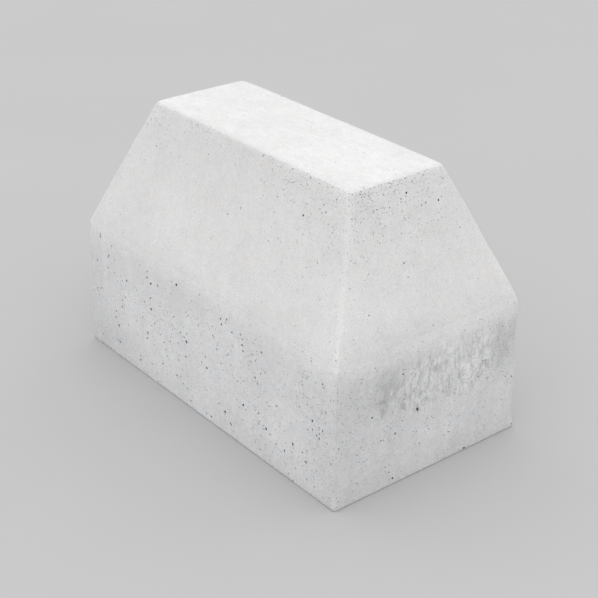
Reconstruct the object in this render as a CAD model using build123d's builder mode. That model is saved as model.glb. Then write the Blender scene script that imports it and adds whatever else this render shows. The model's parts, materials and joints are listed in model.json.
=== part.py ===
from build123d import *
import os

# A precast concrete traffic block: a rectangular foot with four sloping faces above it.
# X runs along the block, Y across it and Z up. The origin is the middle of the underside.
# Everything is in millimetres.

# ---- the block ----
foot_length = 900.0
foot_width = 500.0
foot_height = 305.0
block_height = 600.0
foot_draft = 4.0  # how far each upright face leans in, so that the block leaves its mould
top_length = 660.0
top_width = 240.0
edge_radius = 12.0
shoulder_radius = 180.0  # a soft bend where the slopes meet the upright faces
arris_radius = 3.0  # round the underside, which is the open, trowelled face in the mould

# ---- the steel cage ----
cover = 40.0  # concrete over the crosswise links
link_radius = 4.0
bar_radius = 5.0
layer_gap = 1.0  # between bars that cross
bend_radius = 20.0  # of a link's centre line
link_pitch = 142.5
link_places = (-2, -1, 0, 1, 2)
end_link_x = 380.0
bar_nest = 13.0  # from a link's centre line to the bar held in its corner
bar_end_cover = 50.0
loop_y = 35.0

# ---- the wire ties ----
wire_radius = 0.7
wire_play = 0.5
twist_radius = 1.2
twist_length = 16.0
tie_corner_radius = 5.0

# ---- the plastic wheels that hold the cage off the mould ----
wheel_thickness = 10.0
wheel_rim = 5.0
wheel_hub_radius = 9.0
wheel_spokes = 6
spoke_width = 4.0
wheel_bore_play = 0.2
wheel_skin = 1.0  # of concrete over a wheel
side_wheel_z = 170.0
end_wheel_z = {"front": 150.0, "back": 210.0}

# ---- the lifting sockets in the underside ----
socket_x = 250.0
socket_radius = 15.5
socket_length = 80.0
socket_setback = 10.0
thread_radius = 10.4  # the wall of an M24 thread, at its minor diameter
thread_depth = 45.0
recess_mouth_radius = 28.0
recess_floor_radius = 18.0
cross_hole_z = 75.0
tail_radius = 6.0
tail_play = 0.4
tail_bend_radius = 24.0
tail_foot_half = 45.0
tail_tip_half = 130.0
tail_tip_z = 330.0

# ---- worked out from the sizes above ----
half_length = foot_length / 2
half_width = foot_width / 2
link_depth = cover + link_radius
loop_depth = link_depth + 2 * link_radius + layer_gap
bar_depth = link_depth + bar_nest
bend_depth = link_depth + bend_radius
link_xs = [place * link_pitch for place in link_places]
sides = {"front": -1, "back": 1}
ends = {"left": -1, "right": 1}


def outline(half_foot, half_top):
    """The block's outline in an upright plane, as its corners in order."""
    half_shoulder = half_foot - foot_draft
    return [
        (-half_foot, 0),
        (half_foot, 0),
        (half_shoulder, foot_height),
        (half_top, block_height),
        (-half_top, block_height),
        (-half_shoulder, foot_height),
    ]


cross_outline = outline(half_width, top_width / 2)
long_outline = outline(half_length, top_length / 2)


def inset_corner(corners, depth, side, level):
    """A corner of an inset cross-section: level 0 is the foot, 1 the shoulder, 2 the top."""
    with BuildSketch(Plane.YZ) as inner:
        Polygon(*corners, align=None)
        offset(amount=-depth, kind=Kind.INTERSECTION)
    low_to_high = inner.sketch.vertices().sort_by(Axis.Z)
    pair = low_to_high[2 * level : 2 * level + 2].sort_by(Axis.Y)
    return Vector(tuple(pair[0 if side < 0 else 1]))


def round_bar(path, radius):
    """A bent round bar along a closed or open wire."""
    with BuildPart() as bar:
        with BuildSketch(Plane(origin=path @ 0, z_dir=path % 0)):
            Circle(radius)
        sweep(path=path)
    return bar.part


def bent_loop(plane, corners, depth):
    """A closed link: the outline, moved in by the cover, with bent corners."""
    with BuildSketch(plane) as bent:
        Polygon(*corners, align=None)
        offset(amount=-depth, kind=Kind.INTERSECTION)
        fillet(bent.vertices(), radius=bend_radius)
    return round_bar(bent.sketch.face().outer_wire(), link_radius)


def straight_bar(centre, half):
    """A lengthwise bar about a point of the middle cross-section."""
    with BuildPart() as bar:
        with BuildSketch(Plane(origin=centre, z_dir=(1, 0, 0))):
            Circle(bar_radius)
        extrude(amount=half, both=True)
    return bar.part


def wire_tie(outside, inside, bar_reach):
    """A wire ring round two crossing bars, with its twisted ends turned inwards."""
    outward = (outside - inside).normalized()
    along = Vector(1, 0, 0)
    diagonal = (along + outward.cross(along)).normalized()
    ring_plane = Plane(
        origin=(outside + inside) / 2, x_dir=diagonal, z_dir=diagonal.cross(outward)
    )
    room = 2 * (wire_play + wire_radius)
    ring_width = 2 * bar_reach * 2**0.5 + room
    ring_height = (outside - inside).length + room
    with BuildSketch(ring_plane) as ring:
        RectangleRounded(ring_width, ring_height, tie_corner_radius)
    with BuildPart() as tie:
        add(round_bar(ring.sketch.face().outer_wire(), wire_radius))
        with BuildSketch(Plane(origin=inside - outward * room / 2, z_dir=-outward)):
            Circle(twist_radius)
        extrude(amount=twist_length)
    return tie.part


def wheel(plane, radius, bore_radius):
    """A spoked plastic wheel round a link that passes through the plane's origin."""
    with BuildPart() as disc:
        with BuildSketch(plane):
            Circle(radius)
            Circle(radius - wheel_rim, mode=Mode.SUBTRACT)
            with PolarLocations(radius / 2, wheel_spokes):
                Rectangle(radius - wheel_rim / 2, spoke_width)
            Circle(wheel_hub_radius)
            if bore_radius:
                Circle(bore_radius, mode=Mode.SUBTRACT)
        extrude(amount=wheel_thickness / 2, both=True)
    return disc.part


# ---- crosswise links ----
cage = {}
for number, x in enumerate(link_xs, start=1):
    cage[f"profile_link_{number}"] = bent_loop(
        Plane.YZ.offset(x), cross_outline, link_depth
    )

# ---- lengthwise bars, one in each corner of the links ----
half_shoulder_length = half_length - foot_draft
slope_run = (half_shoulder_length - top_length / 2) / (block_height - foot_height)
corner_z = [inset_corner(cross_outline, bar_depth, 1, level).Z for level in range(3)]
end_of_top_bar = (
    top_length / 2
    + (block_height - corner_z[2] - bar_radius) * slope_run
    - bar_end_cover * (1 + slope_run**2) ** 0.5
)
bar_levels = {
    "foot_bar": half_length - bar_end_cover,
    "shoulder_bar": half_shoulder_length - bar_end_cover,
    "top_bar": end_of_top_bar,
}
for level, (kind, half) in enumerate(bar_levels.items()):
    for side_name, side in sides.items():
        centre = inset_corner(cross_outline, bar_depth, side, level)
        cage[f"{kind}_{side_name}"] = straight_bar(centre, half)

# ---- low links under the end slopes, up to just above the shoulder bars ----
end_link_top = corner_z[1] + bar_nest
end_outline = [
    (-half_width, 0),
    (half_width, 0),
    (half_width - foot_draft, end_link_top + link_depth),
    (foot_draft - half_width, end_link_top + link_depth),
]
for end_name, end in ends.items():
    cage[f"end_link_{end_name}"] = bent_loop(
        Plane.YZ.offset(end * end_link_x), end_outline, link_depth
    )

# ---- lengthwise loops, which follow the end slopes ----
for side_name, side in sides.items():
    cage[f"long_loop_{side_name}"] = bent_loop(
        Plane.XZ.offset(-side * loop_y), long_outline, loop_depth
    )

# ---- lifting sockets and their tails ----
for end_name, end in ends.items():
    x = end * socket_x
    socket_mouth = Plane(origin=(x, 0, socket_setback))
    with BuildPart() as lifting_socket:
        with BuildSketch(socket_mouth):
            Circle(socket_radius)
        extrude(amount=socket_length)
        with BuildSketch(socket_mouth):
            Circle(thread_radius)
        extrude(amount=thread_depth, mode=Mode.SUBTRACT)
        with BuildSketch(Plane(origin=(x, 0, cross_hole_z), z_dir=(0, 1, 0))):
            Circle(tail_radius + tail_play)
        extrude(amount=socket_radius, both=True, mode=Mode.SUBTRACT)
    cage[f"lifting_socket_{end_name}"] = lifting_socket.part

    with BuildLine(Plane.YZ.offset(x)) as tail_route:
        FilletPolyline(
            (-tail_tip_half, tail_tip_z),
            (-tail_foot_half, cross_hole_z),
            (tail_foot_half, cross_hole_z),
            (tail_tip_half, tail_tip_z),
            radius=tail_bend_radius,
        )
    cage[f"socket_tail_{end_name}"] = round_bar(tail_route.wire(), tail_radius)

# ---- wire ties where bars, links and loops cross ----
corner_ties = [(cross_outline, level, link_xs) for level in range(3)]
corner_ties += [(end_outline, level, [-end_link_x, end_link_x]) for level in range(2)]
ties = []
for side in sides.values():
    for corners, level, places in corner_ties:
        bar_centre = inset_corner(cross_outline, bar_depth, side, level)
        bend_centre = inset_corner(corners, bend_depth, side, level)
        outward = (bar_centre - bend_centre).normalized()
        outside = bend_centre + outward * (bend_radius + link_radius)
        inside = bar_centre - outward * bar_radius
        for x in places:
            ties.append(wire_tie(outside + (x, 0, 0), inside + (x, 0, 0), bar_radius))
    for x in link_xs[1:-1]:
        for base_z, up in ((0, 1), (block_height, -1)):
            outside = Vector(x, side * loop_y, base_z + up * cover)
            inside = outside + Vector(0, 0, up * (4 * link_radius + layer_gap))
            ties.append(wire_tie(outside, inside, link_radius))
with BuildPart() as tie_wires:
    for tie in ties:
        add(tie)

# ---- wheels on the links' sides, slopes and tops, and on the loops' ends ----
foot, shoulder, crown = [
    inset_corner(cross_outline, link_depth, 1, level) for level in range(3)
]
wheel_places = []
for x in link_xs[::2]:
    wheel_places.append(Plane(origin=(x, 0, crown.Z), z_dir=(0, 1, 0)))
for side in sides.values():
    foot_run = Vector(0, side * (shoulder.Y - foot.Y), shoulder.Z - foot.Z)
    up_foot = (side_wheel_z - foot.Z) / (shoulder.Z - foot.Z)
    side_y = side * (foot.Y + (shoulder.Y - foot.Y) * up_foot)
    slope_y = side * (shoulder.Y + crown.Y) / 2
    slope_z = (shoulder.Z + crown.Z) / 2
    slope_direction = Vector(0, side * (crown.Y - shoulder.Y), crown.Z - shoulder.Z)
    for x in link_xs[::2]:
        wheel_places.append(Plane(origin=(x, side_y, side_wheel_z), z_dir=foot_run))
    for x in link_xs[1::2]:
        wheel_places.append(Plane(origin=(x, slope_y, slope_z), z_dir=slope_direction))

end_wheel_places = []
for side_name, side in sides.items():
    lean = foot_draft * end_wheel_z[side_name] / foot_height
    end_wheel_x = half_length - lean - loop_depth
    for end in ends.values():
        origin = (end * end_wheel_x, side * loop_y, end_wheel_z[side_name])
        end_wheel_places.append(
            Plane(origin=origin, z_dir=(-end * foot_draft, 0, foot_height))
        )

wheel_radius = link_depth - wheel_skin
end_wheel_radius = loop_depth - wheel_skin
wheel_bore_radius = link_radius + wheel_bore_play
with BuildPart() as wheel_spacers:
    for place in wheel_places:
        add(wheel(place, wheel_radius, wheel_bore_radius))
with BuildPart() as end_spacers:
    for place in end_wheel_places:
        add(wheel(place, end_wheel_radius, wheel_bore_radius))

# ---- what the concrete closes round: the steel, the ties and the wheels ----
moulds = [piece for name, piece in cage.items() if "lifting_socket" not in name]
moulds += ties
moulds += [wheel(place, wheel_radius, 0) for place in wheel_places]
moulds += [wheel(place, end_wheel_radius, 0) for place in end_wheel_places]

# ---- the concrete: what the two outlines have in common, with its edges rounded ----
with BuildPart() as concrete_body:
    for plane, corners, reach, mode in (
        (Plane.YZ, cross_outline, half_length, Mode.ADD),
        (Plane.XZ, long_outline, half_width, Mode.INTERSECT),
    ):
        with BuildSketch(plane) as profile:
            Polygon(*corners, align=None)
            shoulders = profile.vertices().sort_by(Axis.Y)[2:4]
            fillet(shoulders, radius=shoulder_radius)
        extrude(amount=reach, both=True, mode=mode)
    edges = concrete_body.edges()
    corner_edges = edges - edges.filter_by(Axis.X) - edges.filter_by(Axis.Y)
    top_edges = concrete_body.faces().sort_by(Axis.Z)[-1].edges()
    fillet(corner_edges + top_edges, radius=edge_radius)
    underside_edges = concrete_body.faces().sort_by(Axis.Z)[0].edges()
    fillet(underside_edges, radius=arris_radius)
    for end in ends.values():
        mouth = Plane(origin=(end * socket_x, 0, 0))
        with BuildSketch(mouth):
            Circle(recess_mouth_radius)
        with BuildSketch(mouth.offset(socket_setback)):
            Circle(recess_floor_radius)
        loft(mode=Mode.SUBTRACT)
        with BuildSketch(mouth.offset(socket_setback)):
            Circle(socket_radius)
        extrude(amount=socket_length, mode=Mode.SUBTRACT)
    add(moulds, mode=Mode.SUBTRACT)

pieces = {"concrete_body": concrete_body.part, **cage}
pieces["tie_wires"] = tie_wires.part
pieces["wheel_spacers"] = wheel_spacers.part
pieces["end_spacers"] = end_spacers.part

os.makedirs("parts", exist_ok=True)
for name, piece in pieces.items():
    piece.label = name
    export_step(piece, f"parts/{name}.step")
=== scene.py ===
import json
import math

import bmesh
import bpy
import numpy as np
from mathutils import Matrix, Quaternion, Vector, geometry, noise


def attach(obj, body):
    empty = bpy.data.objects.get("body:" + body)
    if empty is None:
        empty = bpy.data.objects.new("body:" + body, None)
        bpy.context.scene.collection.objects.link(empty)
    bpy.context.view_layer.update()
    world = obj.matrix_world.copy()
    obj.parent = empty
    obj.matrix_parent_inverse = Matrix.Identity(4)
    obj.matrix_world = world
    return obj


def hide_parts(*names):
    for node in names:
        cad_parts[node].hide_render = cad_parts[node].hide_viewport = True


# The looks of a precast concrete traffic block: its cast skin with air holes, soft edges,
# a dirty rub mark on one end, the trowelled underside round the lifting sockets, and the studio.
# Everything is in metres, in the CAD model's frame, unless its name or comment says mm.

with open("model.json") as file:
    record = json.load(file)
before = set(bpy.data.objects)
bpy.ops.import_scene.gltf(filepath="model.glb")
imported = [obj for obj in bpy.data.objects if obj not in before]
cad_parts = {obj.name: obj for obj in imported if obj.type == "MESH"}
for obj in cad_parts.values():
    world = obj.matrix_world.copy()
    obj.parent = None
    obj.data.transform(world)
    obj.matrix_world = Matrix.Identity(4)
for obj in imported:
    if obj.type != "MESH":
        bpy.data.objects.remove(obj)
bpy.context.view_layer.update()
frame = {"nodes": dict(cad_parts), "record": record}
random = np.random.default_rng(7)
MM = 0.001

# ---------------------------------------------------------------- the block's sizes
FOOT_HALF = (0.450, 0.250)
SHOULDER_HALF = (0.446, 0.246)
TOP_HALF = (0.330, 0.120)
SHOULDER_Z = 0.305
TOP_Z = 0.600
SOCKET_X = 0.250
RECESS_MOUTH = 0.028
RECESS_FLOOR = 0.018
RECESS_DEPTH = 0.010
SOCKET_RADIUS = 0.0155
SOCKET_TOP = 0.090

# ---------------------------------------------------------------- how finely it is meshed
# How far apart points lie over a face, along its edges and in the rub mark, and how far in from an
# edge the closer rows of points lie.
GRID = 0.0130
EDGE_STEP = 0.0070
EDGE_ROWS = (0.0010, 0.0024, 0.0048, 0.0082, 0.0130)
RUB_GRID = 0.0028
RECESS_SIDES = 48
# How far points are moved off a regular grid, as shares of its pitch.
EDGE_SHIFT = 0.3
GRID_SHIFT = 0.16
# The gap between a grid's rows and the room it leaves inside the edge rows, as shares of its pitch.
GRID_ROWS = 0.87
GRID_ROOM = 0.45
# How much further an edge row's points lie from the other edges than from their own.
EDGE_ROW_ROOM = 0.4 * MM
# How far other points stay from a hole, as a share of its size, and from a recess.
HOLE_CLEAR = 1.3
RECESS_CLEAR = 1.5 * MM
# Points this near a recess's rim are on it, and points this near an edge belong to both its faces.
ON_RIM = 0.1 * MM
AT_EDGE = 0.5 * MM
# Faces' points about this near are one point. The shift keeps round sizes off the halfway values.
SAME_POINT = 0.02 * MM
KEY_SHIFT = 0.137
WELD_GAP = 0.03 * MM
# Mesh edges that bend more than this, such as the holes' rims, are shaded sharp.
RIM_ANGLE = math.radians(50)


def ring(half, z):
    """The four corners of a level rectangle, from the left front corner round to the left back."""
    hx, hy = half
    return [Vector((x, y, z)) for x, y in ((-hx, -hy), (hx, -hy), (hx, hy), (-hx, hy))]


def block_faces():
    """Each flat face's corners, seen from outside, starting with its lower edge."""
    foot, shoulder, top = ring(FOOT_HALF, 0), ring(SHOULDER_HALF, SHOULDER_Z), ring(TOP_HALF, TOP_Z)
    faces = {"top": top, "underside": foot[::-1]}
    for i, side in enumerate(("front", "right", "back", "left")):
        j = (i + 1) % 4
        faces[side + "_foot"] = [foot[i], foot[j], shoulder[j], shoulder[i]]
        faces[side + "_slope"] = [shoulder[i], shoulder[j], top[j], top[i]]
    return faces


class Face:
    """A flat face with its own plane: u runs along its first edge and v across the face."""

    def __init__(self, name, corners):
        self.name = name
        self.u = (corners[1] - corners[0]).normalized()
        self.normal = self.u.cross(corners[2] - corners[1]).normalized()
        self.v = self.normal.cross(self.u)
        self.origin = (corners[0] + corners[1]) / 2
        self.corners = [self.flat(c) for c in corners]

    def flat(self, point):
        """A point of space in the face's own plane."""
        offset = Vector(point) - self.origin
        return np.array([offset.dot(self.u), offset.dot(self.v)])

    def solid(self, points):
        """Points of the plane as points of space."""
        points = np.atleast_2d(points)
        return (
            np.array(self.origin)
            + points[:, :1] * np.array(self.u)
            + points[:, 1:] * np.array(self.v)
        )

    def edge_distances(self, points):
        """How far inside each of the four edges each point lies, the lower edge first."""
        points = np.atleast_2d(points)
        distances = []
        for a, b in zip(self.corners, self.corners[1:] + self.corners[:1]):
            run = (b - a) / np.linalg.norm(b - a)
            distances.append((points[:, 1] - a[1]) * run[0] - (points[:, 0] - a[0]) * run[1])
        return np.array(distances)

    def crisp_distances(self, points):
        """The same without the shoulder, which is a soft bend rather than an edge."""
        shoulder = 2 if "foot" in self.name else 0 if "slope" in self.name else None
        distances = self.edge_distances(points)
        return distances if shoulder is None else np.delete(distances, shoulder, axis=0)

    def hip_distance(self, points):
        """How far each point lies from the two edges that run up the face's sides."""
        return self.edge_distances(points)[[1, 3]].min(axis=0)


FACES = [Face(name, corners) for name, corners in block_faces().items()]


# How far apart in the noise two seeds lie.
SEED_STEP = 17.3


def noise_at(points, wavelength, seed, stretch=(1, 1, 1)):
    """Smooth noise from -1 to 1 at each point of space, with blotches about a wavelength wide."""
    scaled = points / (wavelength * np.array(stretch)) + seed * SEED_STEP
    return np.array([noise.noise(p) for p in scaled])


def smooth(low, high, x):
    t = np.clip((x - low) / (high - low), 0, 1)
    return t * t * (3 - 2 * t)


# ---------------------------------------------------------------- air holes
# Air gathered at two opposite top corners of the block and on the upright faces.
AIR_CORNERS = (np.array([0.32, -0.09, 0.59]), np.array([-0.32, 0.09, 0.59]))
CORNER_SPREAD = (0.70, 0.62, 1.0)
CORNER_REACH = 0.052
# How far it reaches below the top, above the shoulder and in from the edges of a level face.
UNDER_TOP_REACH = 0.017
SHOULDER_AIR_REACH = 0.040
BORDER_REACH = 0.010
CLUMP_WIDTH = 0.085
# The long foot faces hold less air towards one end, named by its side along X.
FAR_ENDS = {"front_foot": -1, "back_foot": 1}
FAR_SPAN = (0.10, 0.40)
# A foot face holds less air within this distance under the shoulder.
CALM_UNDER_SHOULDER = 0.045

# For each kind of face: random holes per square metre where air is likeliest, and their usual
# width in mm, the largest first.
HOLE_KINDS = {
    "long_foot": ((210, 5.6), (640, 3.7), (6000, 2.0)),
    "end_foot": ((75, 5.2), (260, 3.1), (8000, 1.7)),
    "slope": ((1600, 2.7), (19000, 1.9)),
    "top": ((30, 2.4), (1300, 1.7)),
    "underside": ((90, 4.0), (300, 2.6)),
}
HOLE_SPREAD = 0.28
LARGEST_HOLE = 7.5 * MM
STRETCH_SPREAD = 0.4
TURN_SPREAD = 0.9
# Some of the larger kinds of hole have a smaller one close beside them.
PAIRED_FROM = 2.8
PAIRED = 0.22
PAIR_GAP = (0.006, 0.014)
PAIR_SHARE = 0.75
# The least plain surface between a hole and an edge, a recess or another hole.
EDGE_ROOM = 0.7 * MM
RECESS_ROOM = 1.0 * MM
HOLE_ROOM = 0.5 * MM


def hole_kind(face):
    if "slope" in face.name:
        return "slope"
    if "foot" in face.name:
        return "long_foot" if face.name in ("front_foot", "back_foot") else "end_foot"
    return face.name


def hole_chance(face, points):
    """How likely air is at each point: 0 is never, and 1 or more is always."""
    space = face.solid(points)
    clumps = smooth(-0.35, 0.45, noise_at(space, CLUMP_WIDTH, 3))
    if "foot" in face.name:
        far_end = smooth(*FAR_SPAN, FAR_ENDS.get(face.name, 0) * space[:, 0])
        shoulder = smooth(SHOULDER_Z - CALM_UNDER_SHOULDER, SHOULDER_Z, space[:, 2])
        return (0.45 + 0.55 * clumps) * (1 - 0.55 * far_end) * (1 - 0.6 * shoulder)
    if "slope" not in face.name:
        border = np.exp(-face.edge_distances(points).min(axis=0) / BORDER_REACH)
        return 0.25 + 0.35 * clumps + 0.9 * border * clumps
    below_top = TOP_Z - space[:, 2]
    corner = sum(
        np.exp(-np.linalg.norm((space - place) * CORNER_SPREAD, axis=1) / CORNER_REACH)
        for place in AIR_CORNERS
    )
    under_top = np.exp(-below_top / UNDER_TOP_REACH) * clumps
    near_shoulder = np.exp(-(space[:, 2] - SHOULDER_Z) / SHOULDER_AIR_REACH) * clumps
    chance = 0.006 + corner * (0.6 + 0.5 * clumps) + 0.55 * under_top + 0.05 * near_shoulder
    return np.clip(chance, 0, 1)


def random_holes(face):
    """Random holes on a face, as rows of u, v, half width, stretch and turn."""
    low, high = np.min(face.corners, axis=0), np.max(face.corners, axis=0)
    area = np.prod(high - low)
    rows = []
    for per_area, width in HOLE_KINDS[hole_kind(face)]:
        count = random.poisson(per_area * area)
        places = random.uniform(low, high, (count, 2))
        keep = random.uniform(size=count) < hole_chance(face, places)
        for place in places[keep]:
            rows.append(hole_row(place, width))
            if width > PAIRED_FROM and random.uniform() < PAIRED:
                turn = random.uniform(0, 2 * math.pi)
                step = random.uniform(*PAIR_GAP)
                beside = place + step * np.array([math.cos(turn), math.sin(turn)])
                rows.append(hole_row(beside, PAIR_SHARE * width))
    return rows


def hole_row(place, width_mm):
    """One hole as u, v, half width, stretch and turn."""
    width = min(width_mm * MM * math.exp(random.normal(0, HOLE_SPREAD)), LARGEST_HOLE)
    stretch = 1 + abs(random.normal(0, STRETCH_SPREAD))
    turn = random.normal(math.pi / 2, TURN_SPREAD)
    return [*place, width / 2, stretch, turn]


def recess_places(face):
    """Where the sockets' recesses open, on the underside only."""
    if face.name != "underside":
        return []
    return [face.flat((x, 0, 0)) for x in (-SOCKET_X, SOCKET_X)]


def spread_holes(face):
    """The face's holes with none touching another, an edge or a recess."""
    kept = []
    for row in random_holes(face):
        u, v, radius, stretch, _ = row
        reach = radius * stretch**0.5
        if face.edge_distances([[u, v]]).min() < reach + EDGE_ROOM:
            continue
        clear = RECESS_MOUTH + reach + RECESS_ROOM
        if any(np.hypot(*(centre - (u, v))) < clear for centre in recess_places(face)):
            continue
        if kept:
            others = np.array(kept)
            gap = np.hypot(others[:, 0] - u, others[:, 1] - v)
            if np.any(gap < others[:, 2] * others[:, 3] ** 0.5 + reach + HOLE_ROOM):
                continue
        kept.append(row)
    return kept


# A hole's form by its half width: how many sides, and its rings, each with its share of the
# width, share of the depth and how dark it is painted there, painted shade with some dust. The last ring
# closes on a middle point.
HOLE_FORMS = (
    (0.75 * MM, 5, ((1.0, 0.0, 0.0),)),
    (1.15 * MM, 6, ((1.0, 0.0, 0.0), (0.84, 0.60, 1.0))),
    (1.70 * MM, 7, ((1.0, 0.0, 0.0), (0.86, 0.60, 1.0))),
    (9.00 * MM, 12, ((1.0, 0.0, 0.0), (0.86, 0.50, 0.9), (0.50, 0.92, 1.0))),
)
# A hole's depth as a share of its half width, and how uneven its rim is.
DEPTH_SHARE = (0.9, 1.5)
RIM_WOBBLE = 0.08


def hole_points(row):
    """A hole's rings of points in the face's plane, with their depth and darkness, the darkness being
    painted shade with some dust.
    """
    u, v, radius, stretch, turn = row
    sides, rings = next((sides, rings) for most, sides, rings in HOLE_FORMS if radius < most)
    depth = radius * random.uniform(*DEPTH_SHARE)
    angles = np.linspace(0, 2 * math.pi, sides, endpoint=False) + random.uniform(0, 1)
    wobble = 1 + random.normal(0, RIM_WOBBLE, sides)
    along, across = radius * stretch**0.5, radius / stretch**0.5
    points = []
    for share, deep, dark in rings:
        a = along * np.cos(angles) * wobble * share
        b = across * np.sin(angles) * wobble * share
        for i in range(sides):
            place = (
                u + a[i] * math.cos(turn) - b[i] * math.sin(turn),
                v + a[i] * math.sin(turn) + b[i] * math.cos(turn),
            )
            points.append((*place, deep * depth, dark))
    points.append((u, v, depth, 1.0))
    return points, sides


# ---------------------------------------------------------------- the mesh's flat points
def edge_points(face):
    """The points along the border, in order, and the rows of points just inside it."""
    border, rows = [], []
    for k in range(4):
        a, b = face.corners[k], face.corners[(k + 1) % 4]
        length = np.linalg.norm(b - a)
        run = (b - a) / length
        inward = np.array([-run[1], run[0]])
        steps = math.ceil(length / EDGE_STEP)
        on_edge = a + np.outer(np.arange(steps) / steps, b - a)
        border.append(on_edge)
        for depth in EDGE_ROWS:
            row = on_edge + inward * depth + run * length / steps * random.uniform(-EDGE_SHIFT, EDGE_SHIFT)
            others = np.delete(face.edge_distances(row), k, axis=0).min(axis=0)
            rows.append(row[others > depth + EDGE_ROW_ROOM])
    return np.concatenate(border), np.concatenate(rows)


def inner_points(face):
    """A staggered grid of points over the rest of the face, closer together in the rub mark."""
    low, high = np.min(face.corners, axis=0), np.max(face.corners, axis=0)
    grids = []
    for pitch in (GRID, RUB_GRID):
        rows = np.arange(low[1], high[1], pitch * GRID_ROWS)
        columns = np.arange(low[0], high[0], pitch)
        u, v = np.meshgrid(columns, rows)
        u = u + (np.arange(len(rows)) % 2)[:, None] * pitch / 2
        points = np.stack([u.ravel(), v.ravel()], axis=1)
        points += random.uniform(-GRID_SHIFT, GRID_SHIFT, points.shape) * pitch
        in_rub = rub_share(face, face.solid(points)) > RUB_LEAST
        points = points[in_rub if pitch == RUB_GRID else ~in_rub]
        inside = face.edge_distances(points).min(axis=0) > EDGE_ROWS[-1] + GRID_ROOM * pitch
        grids.append(points[inside])
    return np.concatenate(grids)


def clear_of_holes(points, rows, recesses):
    """Leaves out the points that lie in or right beside a hole or a recess."""
    keep = np.ones(len(points), bool)
    for u, v, radius, stretch, turn in rows:
        reach = radius * stretch**0.5 * HOLE_CLEAR
        near = np.where(np.hypot(points[:, 0] - u, points[:, 1] - v) < reach)[0]
        du, dv = points[near, 0] - u, points[near, 1] - v
        a = (du * math.cos(turn) + dv * math.sin(turn)) / (radius * stretch**0.5)
        b = (dv * math.cos(turn) - du * math.sin(turn)) / (radius / stretch**0.5)
        keep[near[np.hypot(a, b) < HOLE_CLEAR]] = False
    for centre in recesses:
        keep &= np.hypot(*(points - centre).T) > RECESS_MOUTH + RECESS_CLEAR
    return points[keep]


# ---------------------------------------------------------------- the rub mark on one end
# A ragged patch of upright streaks and dirt on the right end's foot, as if something rough had
# rubbed it.
RUB_CENTRE = (0.04, 0.21)
RUB_HALF = (0.20, 0.08)
# The mark's slant, how it fades out over its ellipse, and the least of it that is meshed finely.
RUB_TILT = 0.05
RUB_FADE = (0.55, 1.05)
RUB_LEAST = 0.03
STREAK_LEAN = 0.10


def rub_share(face, space):
    """How rubbed the surface is at each point, from 0 to 1."""
    if face.name != "right_foot":
        return np.zeros(len(space))
    y, z = space[:, 1], space[:, 2]
    tilt = RUB_TILT * (y - RUB_CENTRE[0])
    ellipse = np.hypot((y - RUB_CENTRE[0]) / RUB_HALF[0], (z - RUB_CENTRE[1] - tilt) / RUB_HALF[1])
    ragged = 0.30 * noise_at(space, 0.045, 21) + 0.12 * noise_at(space, 0.015, 25)
    return 1 - smooth(*RUB_FADE, ellipse + ragged)


def rub_dirt(face, space, share):
    """How dirty the mark is, from 0 to 1: at its two ends, along its foot and in gouges inside it."""
    if face.name != "right_foot":
        return np.zeros(len(space))
    along = (space[:, 1] - RUB_CENTRE[0]) / RUB_HALF[0]
    up = (space[:, 2] - RUB_CENTRE[1]) / RUB_HALF[1]
    ends = np.exp(-(((abs(along) - 0.78) / 0.34) ** 2) - ((up - 0.15) / 0.80) ** 2)
    foot = np.exp(-(((up + 0.65) / 0.35) ** 2)) * share
    gouges = smooth(0.22, 0.55, noise_at(space, 0.022, 29, stretch=(1, 1, 1.8))) * share**2
    return np.clip(0.64 * ends + 0.35 * foot + 0.55 * gouges, 0, 1)


def rub_height(space, share):
    """The streaks' relief: leaning ridges and grooves, 1 at the highest and -1 at the deepest."""
    leaning = space.copy()
    leaning[:, 1] += 0.0035 * noise_at(space, 0.030, 26) - STREAK_LEAN * space[:, 2]
    wide = noise_at(leaning, 0.014, 22, stretch=(1, 1, 3.2))
    fine = noise_at(leaning, 0.0060, 23, stretch=(1, 1, 2.6))
    grooves = smooth(0.16, 0.0, abs(noise_at(leaning, 0.021, 27, stretch=(1, 1, 3.2))))
    blots = noise_at(space, 0.020, 24)
    crumbs = noise_at(space, 0.0065, 28)
    relief = 0.75 * wide + 0.60 * fine - 0.65 * grooves + 0.45 * blots + 0.40 * crumbs
    return share * np.clip(relief, -1, 1)


# ---------------------------------------------------------------- from flat faces to the cast skin
# The radius of the edges and of the arris at the ground, and the bend at the shoulder.
EDGE_RADIUS = 0.0125
ARRIS_RADIUS = 0.003
SHOULDER_REACH = 0.034
SHOULDER_BEND = math.radians(21.5)
PROJECTION_STEPS = 45
# How high and deep the rub mark's streaks are. The mark lies under the skin by a share of that.
RUB_RELIEF = 0.8 * MM
RUB_LEVEL = 0.55
# How much more rounded the top's corners are, how far that reaches, and where the edges pass from
# the arris at the ground to their full rounding.
CORNER_ROUNDING = 0.6
CORNER_ROUNDING_REACH = 0.030
ARRIS_SPAN = (0.004, 0.030)
# The shoulder keeps this share of its bend at the corners.
CORNER_BEND = 0.35
CORNER_BEND_SPAN = (0.004, 0.035)
# How deep the skin's unevenness is, and how far in from an edge chips and crumbling reach.
WAVE_DEPTH = 0.30 * MM
RIPPLE_DEPTH = 0.10 * MM
CHIP_DEPTH = 0.8 * MM
CRUMB_DEPTH = 0.20 * MM
CHIP_REACH = 0.009
CRUMB_SPAN = (0.002, 0.016)
# How deep the trowelled underside's waves and pits are.
FLOAT_DEPTH = 0.45 * MM
PIT_DEPTH = 0.35 * MM


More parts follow.
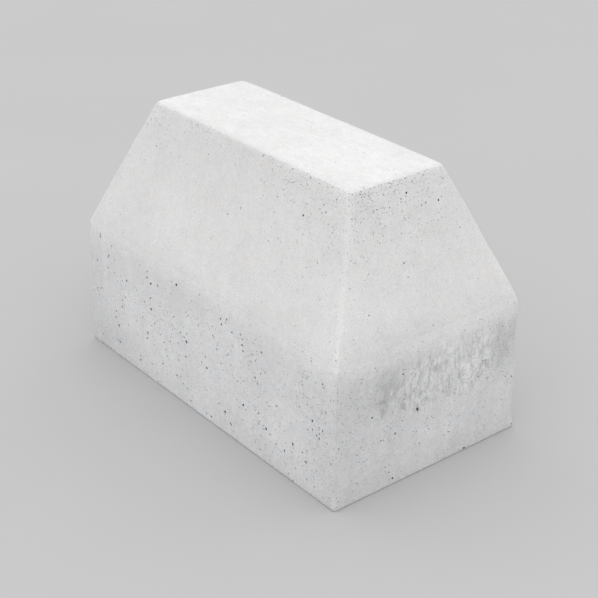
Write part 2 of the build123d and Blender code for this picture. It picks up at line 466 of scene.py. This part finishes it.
def rounding_radius(space):
    """How rounded the nearest edge is: uneven, more at the top corners and less at the ground."""
    radius = EDGE_RADIUS * (1 + 0.26 * noise_at(space, 0.055, 5) + 0.14 * noise_at(space, 0.014, 6))
    to_corner = np.linalg.norm(abs(space) - (*TOP_HALF, TOP_Z), axis=1)
    radius *= 1 + CORNER_ROUNDING * np.exp(-to_corner / CORNER_ROUNDING_REACH)
    return ARRIS_RADIUS + (radius - ARRIS_RADIUS) * smooth(*ARRIS_SPAN, space[:, 2])


def shoulder_offset(space):
    """How far the soft shoulder lies under the two faces that meet there, away from the corners."""
    slope = smooth(SHOULDER_Z, TOP_Z, space[:, 2])
    half = [s + (t - s) * slope for s, t in zip(SHOULDER_HALF, TOP_HALF)]
    across = np.maximum(half[0] - abs(space[:, 0]), half[1] - abs(space[:, 1]))
    along = np.maximum(SHOULDER_REACH - abs(space[:, 2] - SHOULDER_Z), 0)
    arc_radius = SHOULDER_REACH / math.tan(SHOULDER_BEND / 2)
    bend = CORNER_BEND + (1 - CORNER_BEND) * smooth(*CORNER_BEND_SPAN, across)
    return along**2 / (2 * arc_radius) * bend


def rounded(space):
    """Points of the sharp block moved onto the block with rounded edges, and their normals."""
    radius = rounding_radius(space)
    point, memory = space.copy(), np.zeros((len(FACES), *space.shape))
    for _ in range(PROJECTION_STEPS):
        for i, face in enumerate(FACES):
            normal = np.array(face.normal)
            start = point + memory[i]
            over = np.maximum(start @ normal - np.dot(normal, face.origin) + radius, 0)
            point = start - over[:, None] * normal
            memory[i] = start - point
    outward = space - point
    outward /= np.linalg.norm(outward, axis=1)[:, None]
    return point + radius[:, None] * outward, outward


def skin_offset(space, edge_distance):
    """How far the cast skin lies under the true shape: slight waves, and small chips at edges."""
    waves = WAVE_DEPTH * (1 + noise_at(space, 0.16, 31)) + RIPPLE_DEPTH * (1 + noise_at(space, 0.04, 32))
    chips = smooth(0.20, 0.80, noise_at(space, 0.011, 33)) * (1 - smooth(0.0, CHIP_REACH, edge_distance))
    crumbs = (1 + noise_at(space, 0.0055, 34)) * (1 - smooth(*CRUMB_SPAN, edge_distance))
    return waves + CHIP_DEPTH * chips + CRUMB_DEPTH * crumbs


def trowel_offset(space):
    """How far the trowelled underside lies under the true shape: long low waves and small pits."""
    sweep = noise_at(space, 0.030, 41, stretch=(3.0, 1, 1))
    return FLOAT_DEPTH * (1 + sweep) + PIT_DEPTH * (1 + noise_at(space, 0.009, 42))


# How light each face is beside the top: partly the concrete's own tone and stains, partly painted shade on
# faces turned away from the light.
SLOPE_TONE_AND_SHADE = 0.940
# A painted light band across the shoulder, on the foot below it and the slope just above it.
SHOULDER_PAINTED_LIGHT = 0.965
FOOT_TONES_AND_SHADE = {"front_foot": 0.950, "back_foot": 0.940, "left_foot": 0.918, "right_foot": 0.893}
# How far under the shoulder a foot face starts to lighten into the painted light band: its darker tone
# reaches higher on the ends.
LONG_FADE = 0.105
END_FADE = 0.055
# Painted shade in the recesses round the sockets.
RECESS_SHADE_TONE = 0.9
# How far in the top's darker border and the lighter or darker hips reach.
TOP_BORDER = (0.004, 0.014)
HIP_BORDER = (0.001, 0.010)
# Where the slopes darken upwards, and how far above the shoulder the painted light band reaches.
UPPER_SLOPE = (0.39, 0.56)
SHOULDER_BLEND = 0.016
# The long foot faces are lighter round one place along their length and darker towards both ends.
LIGHT_PLACE = -0.09
LIGHT_HALF = 0.16
DARK_ENDS = (0.26, 0.45)
# Each end is darker low down towards one side, and in a patch just above the shoulder.
LOW_SPAN = (0.34, 0.38)
DARK_SIDE = (-0.04, -0.14)
PATCH_Z = 0.333
PATCH_HALF = (0.14, 0.022)


def face_tone(face, points):
    """How light the concrete is at each point of a face, apart from the rub mark and the air holes, with
    painted shade by facing and a painted light band at the shoulder.
    """
    space = face.solid(points)
    x, y, z = space.T
    patchy = 0.5 + 0.5 * noise_at(space, 0.024, 51)
    if face.name == "top":
        border = 1 - smooth(*TOP_BORDER, face.edge_distances(points).min(axis=0))
        return 1 - (0.020 + 0.030 * patchy) * border
    if face.name == "underside":
        return np.ones(len(space))

    hip = 1 - smooth(*HIP_BORDER, face.hip_distance(points))
    if "slope" in face.name:
        # The slopes' tone, below the top's: partly painted shade by facing.
        tone = SLOPE_TONE_AND_SHADE * (1 - 0.042 * smooth(*UPPER_SLOPE, z)) * (1 + 0.022 * patchy * hip)
        # Painted light: the shoulder's light band reaching a little up the slope.
        tone += (SHOULDER_PAINTED_LIGHT - SLOPE_TONE_AND_SHADE) * (1 - smooth(SHOULDER_Z, SHOULDER_Z + SHOULDER_BLEND, z))
    else:
        # Each foot's tone, partly painted shade by its facing, rising into the painted light band under
        # the shoulder.
        fade_depth = LONG_FADE if face.name in ("front_foot", "back_foot") else END_FADE
        near_shoulder = smooth(SHOULDER_Z - fade_depth, SHOULDER_Z, z)
        tone = FOOT_TONES_AND_SHADE[face.name] + (SHOULDER_PAINTED_LIGHT - FOOT_TONES_AND_SHADE[face.name]) * near_shoulder
        tone = tone * (1 - (0.025 + 0.025 * patchy) * hip)
    if face.name in ("front_foot", "back_foot"):
        along = x if face.name == "front_foot" else -x
        fade = 1 - near_shoulder
        lighter = 0.050 * np.exp(-(((along - LIGHT_PLACE) / LIGHT_HALF) ** 2))
        darker = 0.055 * smooth(*DARK_ENDS, abs(x))
        tone *= 1 + fade * (lighter - darker)
    if face.name.startswith(("left", "right")):
        across = y if face.name.startswith("right") else -y
        low = 1 - smooth(*LOW_SPAN, z)
        tone *= 1 - 0.045 * smooth(*DARK_SIDE, across) * low
        patch = np.exp(-(((z - PATCH_Z) / PATCH_HALF[1]) ** 2) - (across / PATCH_HALF[0]) ** 2)
        tone *= 1 - 0.035 * patch
    return tone


# What each point of the skin carries, and which of it the material reads.
VALUES = ("depth", "hole", "edge", "rub", "rubbed", "tone", "air", "dirt")
PAINTED = ("hole", "rub", "rubbed", "tone", "air", "dirt")


def mesh_face(face):
    """One face's points and triangles, and its points' values in the order of VALUES."""
    holes = spread_holes(face)
    recesses = recess_places(face)
    border, rows = edge_points(face)
    plain = clear_of_holes(np.concatenate([rows, inner_points(face)]), holes, recesses)
    flat = [(u, v, 0.0, 0.0) for u, v in np.concatenate([border, plain])]
    fixed = [(i, (i + 1) % len(border)) for i in range(len(border))]
    for row in holes:
        points, sides = hole_points(row)
        fixed += [(len(flat) + i, len(flat) + (i + 1) % sides) for i in range(sides)]
        flat += points
    for centre in recesses:
        fixed += [(len(flat) + i, len(flat) + (i + 1) % RECESS_SIDES) for i in range(RECESS_SIDES)]
        flat += [(*(centre + RECESS_MOUTH * spoke), 0.0, 0.0) for spoke in spokes(RECESS_SIDES)]

    flat = np.array(flat)
    places = [Vector(p[:2]) for p in flat]
    inside_borders, tolerance = 1, 1e-7
    result = geometry.delaunay_2d_cdt(places, fixed, [], inside_borders, tolerance)
    triangles, sources = result[2], result[3]
    triangles = np.array([[sources[i][0] for i in triangle] for triangle in triangles])
    for centre in recesses:
        inside = np.hypot(*(flat[:, :2] - centre).T) < RECESS_MOUTH + ON_RIM
        triangles = triangles[~inside[triangles].all(axis=1)]

    sharp = face.solid(flat[:, :2])
    edge_distance = face.crisp_distances(flat[:, :2]).min(axis=0)
    share = rub_share(face, sharp)
    values = [flat[:, 2], flat[:, 3], edge_distance, rub_height(sharp, share), share]
    air = hole_chance(face, flat[:, :2]) * (1.0 if "slope" in face.name else 0.2)
    values += [face_tone(face, flat[:, :2]), air, rub_dirt(face, sharp, share)]
    return sharp, triangles, np.stack(values, axis=1)


def spokes(count):
    """Evenly spaced directions round a circle."""
    angles = 2 * math.pi * np.arange(count) / count
    return np.stack([np.cos(angles), np.sin(angles)], axis=1)


def close_recess(face, centre):
    """The dished recess round a socket: cone, floor ring and the pocket that the socket fills."""
    circle = spokes(RECESS_SIDES)
    rings = [
        (RECESS_MOUTH, 0.0), ((RECESS_MOUTH + RECESS_FLOOR) / 2, RECESS_DEPTH / 2),
        (RECESS_FLOOR, RECESS_DEPTH), (SOCKET_RADIUS, RECESS_DEPTH), (SOCKET_RADIUS, SOCKET_TOP),
    ]
    points, triangles = [], []
    for radius, height in rings:
        place = face.solid(centre + radius * circle)
        place[:, 2] = height
        points.append(place)
    points.append(np.array([[*face.solid(centre)[0, :2], SOCKET_TOP]]))
    for k in range(len(rings)):
        for i in range(RECESS_SIDES):
            a, b = k * RECESS_SIDES + i, k * RECESS_SIDES + (i + 1) % RECESS_SIDES
            if k + 1 < len(rings):
                c, d = a + RECESS_SIDES, b + RECESS_SIDES
                triangles += [(a, c, b), (b, c, d)]
            else:
                triangles.append((a, len(rings) * RECESS_SIDES, b))
    return np.concatenate(points), np.array(triangles)


def build_block():
    """The block's whole skin as one closed mesh."""
    points, triangles, values, under = [], [], [], []
    count = 0
    for face in FACES:
        sharp, tris, face_values = mesh_face(face)
        points.append(sharp)
        triangles.append(tris + count)
        values.append(face_values)
        under.append(np.full(len(sharp), face.name == "underside"))
        count += len(sharp)
    sharp, triangles = np.concatenate(points), np.concatenate(triangles)
    values, under = np.concatenate(values), np.concatenate(under)

    # Points that two faces share at an edge become one point.
    keys = np.round(sharp / SAME_POINT + KEY_SHIFT).astype(np.int64)
    _, first, same = np.unique(keys, axis=0, return_index=True, return_inverse=True)
    same = same.ravel()
    sharp, values, under = sharp[first], values[first], under[first]
    triangles = same[triangles]
    columns = [VALUES.index(name) for name in ("depth", "edge", "rub", "rubbed")]
    depth, edge_distance, rub, share = values.T[columns]

    skin, outward = rounded(sharp)
    sink = np.where(under, trowel_offset(sharp), skin_offset(sharp, edge_distance))
    sink = np.where(edge_distance < AT_EDGE, skin_offset(sharp, edge_distance), sink)
    at_mouth = np.zeros(len(sharp), bool)
    for x in (-SOCKET_X, SOCKET_X):
        at_mouth |= np.hypot(sharp[:, 0] - x, sharp[:, 1]) < RECESS_MOUTH + ON_RIM
    at_mouth &= under
    sink[at_mouth] = 0
    raised = RUB_RELIEF * (rub - RUB_LEVEL * share)
    skin += outward * (raised - sink - depth - shoulder_offset(sharp))[:, None]

    underside = next(face for face in FACES if face.name == "underside")
    for centre in recess_places(underside):
        recess, recess_tris = close_recess(underside, centre)
        triangles = np.concatenate([triangles, recess_tris + len(skin)])
        skin = np.concatenate([skin, recess])
        padding = np.zeros((len(recess), values.shape[1]))
        padding[:, VALUES.index("edge")] = RECESS_MOUTH
        # The recesses are painted darker: painted shade.
        padding[:, VALUES.index("tone")] = RECESS_SHADE_TONE
        values = np.concatenate([values, padding])

    mesh = bpy.data.meshes.new("concrete_skin")
    mesh.from_pydata(skin.tolist(), [], triangles.tolist())
    for name in PAINTED:
        layer = mesh.attributes.new(name, "FLOAT", "POINT")
        layer.data.foreach_set("value", values[:, VALUES.index(name)].astype(np.float32))
    block = bpy.data.objects.new("concrete_skin", mesh)
    bpy.context.scene.collection.objects.link(block)
    weld_and_shade(block)
    return block


def weld_and_shade(block):
    """Joins doubled points at the recess mouths, then shades smooth but for the holes' rims."""
    bm = bmesh.new()
    bm.from_mesh(block.data)
    bmesh.ops.remove_doubles(bm, verts=bm.verts, dist=WELD_GAP)
    bmesh.ops.recalc_face_normals(bm, faces=bm.faces)
    open_edges = [edge for edge in bm.edges if not edge.is_manifold]
    print("skin:", len(bm.verts), "points", len(bm.faces), "triangles", len(open_edges), "open edges")
    bm.to_mesh(block.data)
    bm.free()
    block.data.shade_smooth()
    block.data.set_sharp_from_angle(angle=RIM_ANGLE)


# ---------------------------------------------------------------- materials
def add_node(tree, kind, inputs=None, **settings):
    """A node with its settings, and its inputs set to values or linked to other nodes."""
    node = tree.nodes.new(kind)
    for name, value in settings.items():
        setattr(node, name, value)
    for name, value in (inputs or {}).items():
        if isinstance(value, bpy.types.NodeSocket):
            tree.links.new(value, node.inputs[name])
        else:
            node.inputs[name].default_value = value
    return node


def new_material(name, roughness, metallic=0.0, specular=0.5):
    """A material with a Principled shader, and the object's own coordinates for its patterns."""
    material = bpy.data.materials.new(name)
    material.use_nodes = True
    tree = material.node_tree
    tree.nodes.clear()
    shader = add_node(tree, "ShaderNodeBsdfPrincipled", {
        "Roughness": roughness, "Metallic": metallic, "Specular IOR Level": specular,
    })
    output = add_node(tree, "ShaderNodeOutputMaterial")
    tree.links.new(shader.outputs["BSDF"], output.inputs["Surface"])
    coordinates = add_node(tree, "ShaderNodeTexCoord").outputs["Object"]
    return material, tree, shader, coordinates


def pattern(
    tree, coordinates, scale, low, high, detail=3.0, roughness=0.5, stretch=(1, 1, 1), distortion=0.0
):
    """Noise spread between two values, with about as many blotches per metre as its scale says."""
    placed = add_node(tree, "ShaderNodeMapping", {"Vector": coordinates, "Scale": stretch})
    cloud = add_node(tree, "ShaderNodeTexNoise", {
        "Vector": placed.outputs["Vector"], "Scale": scale, "Detail": detail,
        "Roughness": roughness, "Distortion": distortion,
    })
    return ranged(tree, cloud.outputs["Fac"], 0.25, 0.75, low, high)


def ranged(tree, value, from_low, from_high, low, high):
    """A value moved smoothly from one range to another."""
    node = add_node(tree, "ShaderNodeMapRange", {
        "Value": value, "From Min": from_low, "From Max": from_high, "To Min": low, "To Max": high,
    }, clamp=True)
    return node.outputs["Result"]


def maths(tree, operation, a, b=0.0):
    node = tree.nodes.new("ShaderNodeMath")
    node.operation = operation
    for socket, value in zip(node.inputs, (a, b)):
        if isinstance(value, bpy.types.NodeSocket):
            tree.links.new(value, socket)
        else:
            socket.default_value = value
    return node.outputs["Value"]


def product(tree, factors):
    total = factors[0]
    for factor in factors[1:]:
        total = maths(tree, "MULTIPLY", total, factor)
    return total


def weighted(tree, base, *shares):
    """A base value with a weighted share of each mask added to it."""
    total = base
    for mask, weight in shares:
        total = maths(tree, "ADD", total, maths(tree, "MULTIPLY", mask, weight))
    return total


def blend(tree, kind, amount, under, over):
    """Mixes a second colour over a first."""
    node = add_node(tree, "ShaderNodeMix", data_type="RGBA", blend_type=kind)
    colours = [socket for socket in node.inputs if socket.type == "RGBA"]
    for socket, value in zip([node.inputs[0], *colours], (amount, under, over)):
        if isinstance(value, bpy.types.NodeSocket):
            tree.links.new(value, socket)
        else:
            socket.default_value = value
    return next(socket for socket in node.outputs if socket.type == "RGBA")


def attribute(tree, name):
    return add_node(tree, "ShaderNodeAttribute", attribute_name=name).outputs["Fac"]


def pinholes(tree, coordinates, scale, radius, share):
    """Tiny round pores: 1 in a pore and 0 elsewhere, in a share of the cells."""
    cells = add_node(tree, "ShaderNodeTexVoronoi", {
        "Vector": coordinates, "Scale": scale, "Randomness": 1.0,
    })
    chosen = add_node(tree, "ShaderNodeSeparateColor", {"Color": cells.outputs["Color"]})
    picked = maths(tree, "LESS_THAN", chosen.outputs["Red"], share)
    size = ranged(tree, chosen.outputs["Green"], 0.0, 1.0, radius * 0.45, radius)
    inside = maths(tree, "SUBTRACT", 1.0, maths(tree, "DIVIDE", cells.outputs["Distance"], size))
    return maths(tree, "MULTIPLY", ranged(tree, inside, 0.0, 0.55, 0.0, 1.0), picked)


CONCRETE_TONE = (0.705, 0.703, 0.700, 1)
# The heights where the foot's tint fades out, the painted shade low on the foot ends and the top's own
# looks begin.
FOOT_SPAN = (0.250, 0.330)
LOW_SHADE_SPAN = (0.0, 0.10)
TOP_SPAN = (0.5975, 0.5990)
# A faint dark line round the block just above the shoulder.
CREASE_Z = 0.316
CREASE_HALF = 0.0030
CREASE_TINT = (0.940, 0.940, 0.940, 1)
FOOT_TINT = (0.987, 0.994, 1.006, 1)
DIRT_TINT = (0.700, 0.712, 0.685, 1)
# Painted shade low on the feet, darkest at the ground.
LOW_SHADE_TINT = (0.80, 0.80, 0.79, 1)
WARM_TINT = (1.018, 1.000, 0.977, 1)
COOL_TINT = (0.982, 0.998, 1.021, 1)
# The rub mark's light ridges and dark hollows: partly rub wear and dirt, partly painted highlight and
# painted shade that follow its relief.
RUB_WEAR_AND_HIGHLIGHT = (0.75, 0.75, 0.75, 1)
RUB_DIRT_AND_SHADE = (0.84, 0.84, 0.83, 1)
GROOVE_DIRT_AND_SHADE = (0.78, 0.785, 0.77, 1)
GRAIN_TONE = (0.88, 0.88, 0.87, 1)
FLECK_TONE = (0.86, 0.86, 0.86, 1)
# Painted shade, with some dust, in the tiny pores.
PORE_DUST_AND_SHADE = (0.32, 0.33, 0.35, 1)
# Painted shade, with some dust, in the air holes.
HOLE_DUST_AND_SHADE = (0.15, 0.16, 0.18, 1)
PLASTIC_TONE = (0.05, 0.05, 0.055, 1)
RUST_TONE = (0.22, 0.10, 0.055, 1)
BAR_TONE = (0.16, 0.14, 0.13, 1)
SOCKET_TONE = (0.56, 0.56, 0.57, 1)
WIRE_TONE = (0.12, 0.115, 0.11, 1)


def concrete_grey(tree, here, foot, top):
    """How light the concrete is: clouds, sand, the top's brush marks and each face's own tone, which holds
    painted shade by facing and a painted light band at the shoulder.
    """
    clouds = product(tree, [
        pattern(tree, here, 4.5, 0.972, 1.024, detail=3.0, distortion=0.5),
        pattern(tree, here, 17.0, 0.978, 1.020, detail=4.0, roughness=0.6, distortion=0.8),
        pattern(tree, here, 60.0, 0.974, 1.022, detail=4.0, roughness=0.65),
        pattern(tree, here, 30.0, 0.985, 1.012, detail=3.0, stretch=(1, 1, 0.12)),
    ])
    sand = product(tree, [
        pattern(tree, here, 190.0, 0.955, 1.038, detail=4.0, roughness=0.7),
        pattern(tree, here, 520.0, 0.850, 1.130, detail=4.0, roughness=0.75),
    ])
    brushed = product(tree, [
        pattern(tree, here, 140.0, 0.952, 1.034, detail=4.0, roughness=0.65,
                stretch=(0.22, 1, 1), distortion=0.6),
        pattern(tree, here, 38.0, 0.974, 1.020, detail=4.0, roughness=0.6,
                stretch=(0.5, 1, 1), distortion=1.0),
    ])
    return product(tree, [
        maths(tree, "POWER", clouds, weighted(tree, 1.35, (foot, 0.80), (top, 0.25))),
        maths(tree, "POWER", sand, weighted(tree, 1.45, (foot, 0.25))),
        maths(tree, "POWER", brushed, top),
        # Each face's tone, with painted shade by facing and the painted light band at the shoulder.
        attribute(tree, "tone"),
    ])


def with_crease(tree, here, height, tone):
    """The faint line above the shoulder, wandering a little and broken up."""
    wander = maths(tree, "ADD", height, pattern(tree, here, 9.0, -0.0015, 0.0015, detail=2.0))
    from_crease = maths(tree, "ABSOLUTE", maths(tree, "SUBTRACT", wander, CREASE_Z))
    crease = ranged(tree, from_crease, 0.0, CREASE_HALF, 1.0, 0.0)
    broken = pattern(tree, here, 55.0, 0.15, 1.0, detail=4.0)
    return blend(tree, "MULTIPLY", maths(tree, "MULTIPLY", crease, broken), tone, CREASE_TINT)


def with_rub_mark(tree, here, tone):
    """The rub mark's dirt, its grooves darkened by dirt and painted shade, its ridges lightened by rubbing
    and painted highlight, and its streaks for the relief.
    """
    ragged = pattern(tree, here, 45.0, -0.25, 0.25, detail=5.0, roughness=0.7, stretch=(1, 1, 0.35))
    dirt = ranged(tree, maths(tree, "ADD", attribute(tree, "dirt"), ragged), 0.25, 0.95, 0.0, 1.0)
    tone = blend(tree, "MULTIPLY", dirt, tone, DIRT_TINT)

    rub, rubbed = attribute(tree, "rub"), attribute(tree, "rubbed")
    streaks = pattern(tree, here, 165.0, 0.0, 1.0, detail=5.0, roughness=0.65, stretch=(1, 1, 0.25))
    grit = pattern(tree, here, 360.0, 0.0, 1.0, detail=4.0, roughness=0.7)
    # Light on the streaks' ridges and the grit, dark in the streaks' hollows, which also shape the bump:
    # partly wear and dirt, partly painted highlight and shade.
    bright = maths(tree, "MAXIMUM", ranged(tree, streaks, 0.56, 0.74, 0.0, 0.60),
                   ranged(tree, grit, 0.62, 0.80, 0.0, 0.70))
    light = maths(tree, "MULTIPLY", bright, rubbed)
    dark = maths(tree, "MULTIPLY", ranged(tree, streaks, 0.42, 0.15, 0.0, 0.55), rubbed)
    # Painted shade, with dirt, in the relief's grooves, and painted highlight, with rub wear, on its
    # ridges.
    grooves = ranged(tree, rub, -0.08, -0.60, 0.0, 0.85)
    ridges = ranged(tree, rub, 0.12, 0.55, 0.0, 0.62)
    tone = blend(tree, "MULTIPLY", dark, tone, RUB_DIRT_AND_SHADE)
    tone = blend(tree, "MULTIPLY", grooves, tone, GROOVE_DIRT_AND_SHADE)
    tone = blend(tree, "MIX", light, tone, RUB_WEAR_AND_HIGHLIGHT)
    tone = blend(tree, "MIX", ridges, tone, RUB_WEAR_AND_HIGHLIGHT)
    return tone, maths(tree, "MULTIPLY", streaks, rubbed)


def with_grains_and_pores(tree, here, top, tone):
    """Light grains and flecks, and pores painted dark as painted shade with some dust, with the depth of
    each kind for the relief.
    """
    grains = pinholes(tree, here, 330.0, 0.30, 0.14)
    tone = blend(tree, "MIX", maths(tree, "MULTIPLY", grains, 0.70), tone, GRAIN_TONE)
    off_top = weighted(tree, 1.0, (top, -1.0))
    flecks = product(tree, [pinholes(tree, here, 230.0, 0.34, 0.05), off_top, 0.55])
    tone = blend(tree, "MIX", flecks, tone, FLECK_TONE)

    air_share = ranged(tree, attribute(tree, "air"), 0.02, 0.8, 0.02, 0.85)
    kinds = (
        (pinholes(tree, here, 210.0, 0.22, 0.26), 0.55, 2.5),
        (pinholes(tree, here, 480.0, 0.30, 0.22), 0.45, 1.2),
        (pinholes(tree, here, 300.0, 0.40, air_share), 0.90, 3.0),
    )
    calm_top = weighted(tree, 1.0, (top, -0.6))
    # The pores are painted dark: painted shade with some dust.
    for pores, strength, _ in kinds:
        shown = maths(tree, "MULTIPLY", maths(tree, "MULTIPLY", pores, calm_top), strength)
        tone = blend(tree, "MULTIPLY", shown, tone, PORE_DUST_AND_SHADE)
    return tone, [(pores, -depth) for pores, _, depth in kinds]


def concrete_material():
    material, tree, shader, here = new_material("cast_concrete", roughness=0.86, specular=0.28)
    height = add_node(tree, "ShaderNodeSeparateXYZ", {"Vector": here}).outputs["Z"]
    wavering = maths(tree, "ADD", height, pattern(tree, here, 7.0, -0.030, 0.030, detail=4.0))
    foot = ranged(tree, wavering, *FOOT_SPAN, 1.0, 0.0)
    top = ranged(tree, height, *TOP_SPAN, 0.0, 1.0)

    grey = combine(tree, concrete_grey(tree, here, foot, top))
    tone = blend(tree, "MULTIPLY", 1.0, CONCRETE_TONE, grey)
    patches = pattern(tree, here, 42.0, 0.0, 1.0, detail=5.0, roughness=0.7)
    tone = blend(tree, "MULTIPLY", 1.0, tone, blend(tree, "MIX", patches, WARM_TINT, COOL_TINT))
    tone = blend(tree, "MULTIPLY", foot, tone, FOOT_TINT)
    # Painted shade low on the feet, near the ground.
    low_shade = maths(tree, "MULTIPLY", ranged(tree, wavering, *LOW_SHADE_SPAN, 0.22, 0.0), foot)
    tone = blend(tree, "MULTIPLY", low_shade, tone, LOW_SHADE_TINT)
    tone = with_crease(tree, here, height, tone)
    tone, streaks = with_rub_mark(tree, here, tone)
    tone, pore_depths = with_grains_and_pores(tree, here, top, tone)
    # The air holes are painted dark: painted shade with some dust.
    hole = ranged(tree, attribute(tree, "hole"), 0.0, 0.7, 0.0, 0.93)
    tone = blend(tree, "MULTIPLY", hole, tone, HOLE_DUST_AND_SHADE)
    tree.links.new(tone, shader.inputs["Base Color"])

    rough = pattern(tree, here, 30.0, 0.80, 0.93, detail=4.0)
    tree.links.new(rough, shader.inputs["Roughness"])

    grain = pattern(tree, here, 350.0, 0.0, 1.0, detail=6.0, roughness=0.7)
    waves = pattern(tree, here, 90.0, 0.0, 0.5, detail=4.0)
    relief = weighted(tree, waves, (grain, 0.45), (streaks, 1.1), *pore_depths)
    bump = add_node(tree, "ShaderNodeBump", {"Strength": 0.6, "Distance": 0.4 * MM, "Height": relief})
    tree.links.new(bump.outputs["Normal"], shader.inputs["Normal"])
    return material


def combine(tree, grey):
    """A grey value as a colour."""
    node = add_node(tree, "ShaderNodeCombineColor", {"Red": grey, "Green": grey, "Blue": grey})
    return node.outputs["Color"]


def metal_material(name, tone, rust, roughness, metallic):
    """Steel with fine grain and patches of rust, more of them the nearer rust is to 1."""
    material, tree, shader, here = new_material(name, roughness, metallic)
    grain = pattern(tree, here, 300.0, 0.85, 1.12, detail=4.0, roughness=0.7)
    clean = blend(tree, "MULTIPLY", 1.0, tone, combine(tree, grain))
    patches = ranged(tree, pattern(tree, here, 38.0, 0.0, 1.0, detail=6.0, roughness=0.7),
                     0.62 - 0.5 * rust, 0.85 - 0.3 * rust, 0.0, 1.0)
    colour = blend(tree, "MIX", patches, clean, RUST_TONE)
    tree.links.new(colour, shader.inputs["Base Color"])
    tree.links.new(ranged(tree, patches, 0.0, 1.0, roughness, 0.85), shader.inputs["Roughness"])
    bump = add_node(tree, "ShaderNodeBump", {"Strength": 0.4, "Distance": 0.2 * MM, "Height": grain})
    tree.links.new(bump.outputs["Normal"], shader.inputs["Normal"])
    return material


def plastic_material():
    material, tree, shader, here = new_material("spacer_plastic", 0.55)
    flow = pattern(tree, here, 120.0, 0.85, 1.15, detail=4.0)
    colour = blend(tree, "MULTIPLY", 1.0, PLASTIC_TONE, combine(tree, flow))
    tree.links.new(colour, shader.inputs["Base Color"])
    tree.links.new(pattern(tree, here, 60.0, 0.45, 0.65), shader.inputs["Roughness"])
    return material


def dress_hidden_pieces():
    """Materials for the CAD pieces inside the block and the sockets in its underside."""
    finishes = {
        "reinforcing_steel": metal_material(
            "reinforcing_steel", BAR_TONE, rust=0.8, roughness=0.6, metallic=0.7
        ),
        "socket_steel": metal_material(
            "socket_steel", SOCKET_TONE, rust=0.1, roughness=0.38, metallic=0.95
        ),
        "tie_wire": metal_material("tie_wire", WIRE_TONE, rust=0.3, roughness=0.5, metallic=0.8),
        "spacer_plastic": plastic_material(),
    }
    for subpart in frame["record"]["subparts"]:
        finish = finishes.get(subpart["material_slot"])
        if finish:
            node = frame["nodes"][subpart["node"]]
            node.data.materials.clear()
            node.data.materials.append(finish)


# ---------------------------------------------------------------- the studio
# Angles are in degrees, and the lens and sensor in mm. The floor lies just under the block.
CAMERA_AZIMUTH = 51.44
CAMERA_ELEVATION = 27.40
CAMERA_DISTANCE = 2.953
CAMERA_ROLL = 0.09
CAMERA_TARGET = Vector((0.0406, -0.0115, 0.2249))
CAMERA_LENS = 81.9
SENSOR_WIDTH = 36.0
FLOOR_SIZE = 60
FLOOR_GAP = 0.1 * MM
FLOOR_TONE = (0.47, 0.47, 0.47, 1)
SKY_TONE = (0.998, 0.996, 1.0, 1)
SKY_STRENGTH = 1.24


def direction(azimuth, elevation):
    """The way towards a camera or lamp: azimuth 0 is in front of the block, 90 at its right end."""
    a, e = math.radians(azimuth), math.radians(elevation)
    return Vector((math.sin(a) * math.cos(e), -math.cos(a) * math.cos(e), math.sin(e)))


def set_camera():
    data = bpy.data.cameras.new("camera")
    data.lens = CAMERA_LENS
    data.sensor_width = SENSOR_WIDTH
    camera = bpy.data.objects.new("camera", data)
    bpy.context.scene.collection.objects.link(camera)
    away = direction(CAMERA_AZIMUTH, CAMERA_ELEVATION)
    camera.location = CAMERA_TARGET + CAMERA_DISTANCE * away
    camera.rotation_mode = "QUATERNION"
    level = away.to_track_quat("Z", "Y")
    camera.rotation_quaternion = level @ Quaternion((0, 0, 1), math.radians(CAMERA_ROLL))
    bpy.context.scene.camera = camera


def add_softbox(name, azimuth, elevation, distance, size, power):
    data = bpy.data.lights.new(name, "AREA")
    data.shape = "DISK"
    data.size = size
    data.energy = power
    lamp = bpy.data.objects.new(name, data)
    away = direction(azimuth, elevation)
    lamp.location = distance * away
    lamp.rotation_mode = "QUATERNION"
    lamp.rotation_quaternion = away.to_track_quat("Z", "Y")
    bpy.context.scene.collection.objects.link(lamp)


def set_studio():
    """A plain pale floor under an even sky, with one large soft lamp overhead."""
    bpy.ops.mesh.primitive_plane_add(size=FLOOR_SIZE, location=(0, 0, -FLOOR_GAP))
    floor = bpy.context.active_object
    floor.name = "floor"
    material, tree, shader, here = new_material("studio_floor", 0.9, specular=0.1)
    uneven = combine(tree, pattern(tree, here, 1.5, 0.985, 1.01))
    tone = blend(tree, "MULTIPLY", 1.0, FLOOR_TONE, uneven)
    tree.links.new(tone, shader.inputs["Base Color"])
    floor.data.materials.append(material)

    world = bpy.data.worlds.new("studio")
    bpy.context.scene.world = world
    world.use_nodes = True
    sky = world.node_tree.nodes["Background"]
    sky.inputs["Color"].default_value = SKY_TONE
    sky.inputs["Strength"].default_value = SKY_STRENGTH
    add_softbox("overhead", azimuth=40, elevation=65, distance=4.0, size=3.0, power=9)
    bpy.context.scene.view_settings.view_transform = "Standard"


# ---------------------------------------------------------------- putting it together
skin = build_block()
skin.data.materials.append(concrete_material())
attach(skin, "root")
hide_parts("concrete_body")
dress_hidden_pieces()
set_studio()
set_camera()
